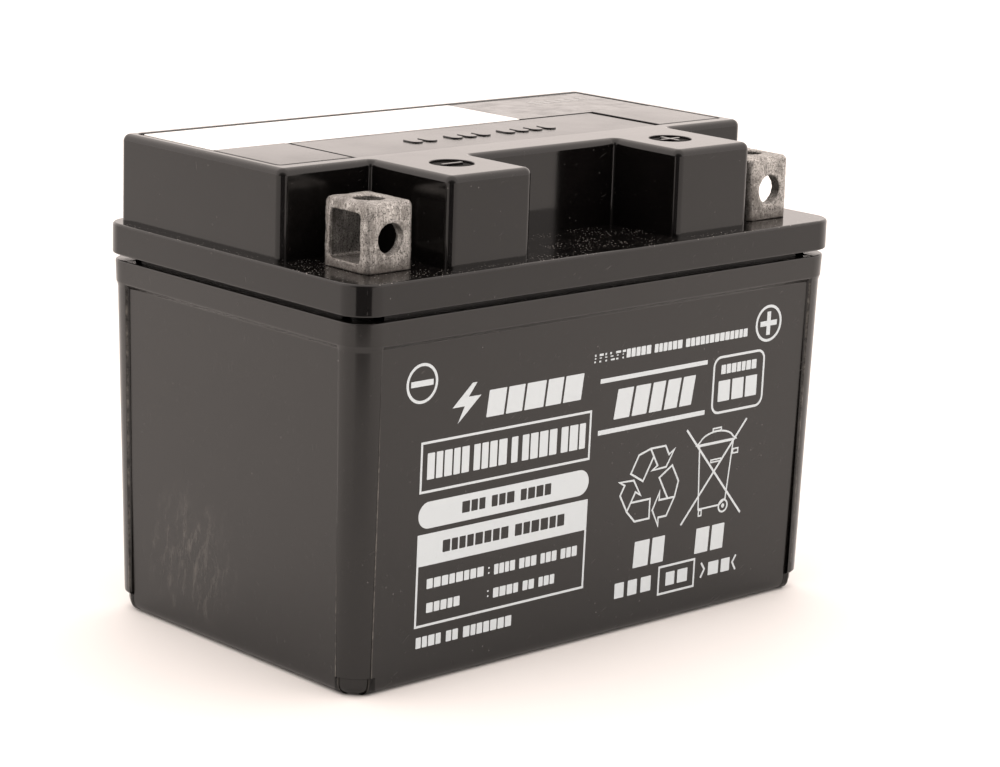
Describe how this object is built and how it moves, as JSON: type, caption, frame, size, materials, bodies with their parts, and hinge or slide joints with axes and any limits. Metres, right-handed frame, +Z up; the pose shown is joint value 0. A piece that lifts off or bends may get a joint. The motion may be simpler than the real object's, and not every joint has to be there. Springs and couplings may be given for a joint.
{
  "type": "motorcycle battery",
  "caption": "Sealed rectangular motorcycle battery with a stepped lid and hollow lead box terminals in open front corner bays.",
  "frame": {"origin": "centre of the base, on the surface that the battery stands on", "axes": "+X along the length from the negative terminal to the positive one, -Y is the printed front with the terminals, +Z up"},
  "size_m": [0.113, 0.07, 0.085],
  "materials": {
    "jar_plastic": "satin black polypropylene with fine scuffs",
    "lid_plastic": "semi-gloss black polypropylene",
    "white_label": "laminated white label",
    "dark_label": "glossy dark label",
    "lead": "dull pitted lead",
    "lead_plate": "grey spongy lead",
    "lead_dioxide": "dark brown paste on lead",
    "glass_mat": "white glass-fibre mat",
    "seal_rubber": "black rubber",
    "porous_filter": "sintered white plastic",
    "print_ink": "white pad-printed ink"
  },
  "bodies": {
    "case": {"container": "jar_plastic", "lid": "lid_plastic", "cover_plate": "lid_plastic", "centre_strip": "lid_plastic", "white_label": "white_label", "dark_label": "dark_label", "negative_terminal": "lead", "positive_terminal": "lead", "negative_post_seal": "seal_rubber", "positive_post_seal": "seal_rubber", "flame_arrestors": "porous_filter", "intercell_welds": "lead", "cell_1_negative_plates": "lead_plate", "cell_1_positive_plates": "lead_dioxide", "cell_1_separators": "glass_mat", "cell_2_negative_plates": "lead_plate", "cell_2_positive_plates": "lead_dioxide", "cell_2_separators": "glass_mat", "cell_3_negative_plates": "lead_plate", "cell_3_positive_plates": "lead_dioxide", "cell_3_separators": "glass_mat", "cell_4_negative_plates": "lead_plate", "cell_4_positive_plates": "lead_dioxide", "cell_4_separators": "glass_mat", "cell_5_negative_plates": "lead_plate", "cell_5_positive_plates": "lead_dioxide", "cell_5_separators": "glass_mat", "cell_6_negative_plates": "lead_plate", "cell_6_positive_plates": "lead_dioxide", "cell_6_separators": "glass_mat"},
    "relief_valve_1": {"relief_valve_1": "seal_rubber"},
    "relief_valve_2": {"relief_valve_2": "seal_rubber"},
    "relief_valve_3": {"relief_valve_3": "seal_rubber"},
    "relief_valve_4": {"relief_valve_4": "seal_rubber"},
    "relief_valve_5": {"relief_valve_5": "seal_rubber"},
    "relief_valve_6": {"relief_valve_6": "seal_rubber"}
  },
  "joints": [
    {"name": "relief_valve_1_lift", "type": "slide", "parent": "case", "child": "relief_valve_1", "axis": [0, 0, 1], "range_m": [0, 0.0008], "stiffness_N_per_m": 200},
    {"name": "relief_valve_2_lift", "type": "slide", "parent": "case", "child": "relief_valve_2", "axis": [0, 0, 1], "range_m": [0, 0.0008], "stiffness_N_per_m": 200},
    {"name": "relief_valve_3_lift", "type": "slide", "parent": "case", "child": "relief_valve_3", "axis": [0, 0, 1], "range_m": [0, 0.0008], "stiffness_N_per_m": 200},
    {"name": "relief_valve_4_lift", "type": "slide", "parent": "case", "child": "relief_valve_4", "axis": [0, 0, 1], "range_m": [0, 0.0008], "stiffness_N_per_m": 200},
    {"name": "relief_valve_5_lift", "type": "slide", "parent": "case", "child": "relief_valve_5", "axis": [0, 0, 1], "range_m": [0, 0.0008], "stiffness_N_per_m": 200},
    {"name": "relief_valve_6_lift", "type": "slide", "parent": "case", "child": "relief_valve_6", "axis": [0, 0, 1], "range_m": [0, 0.0008], "stiffness_N_per_m": 200}
  ]
}
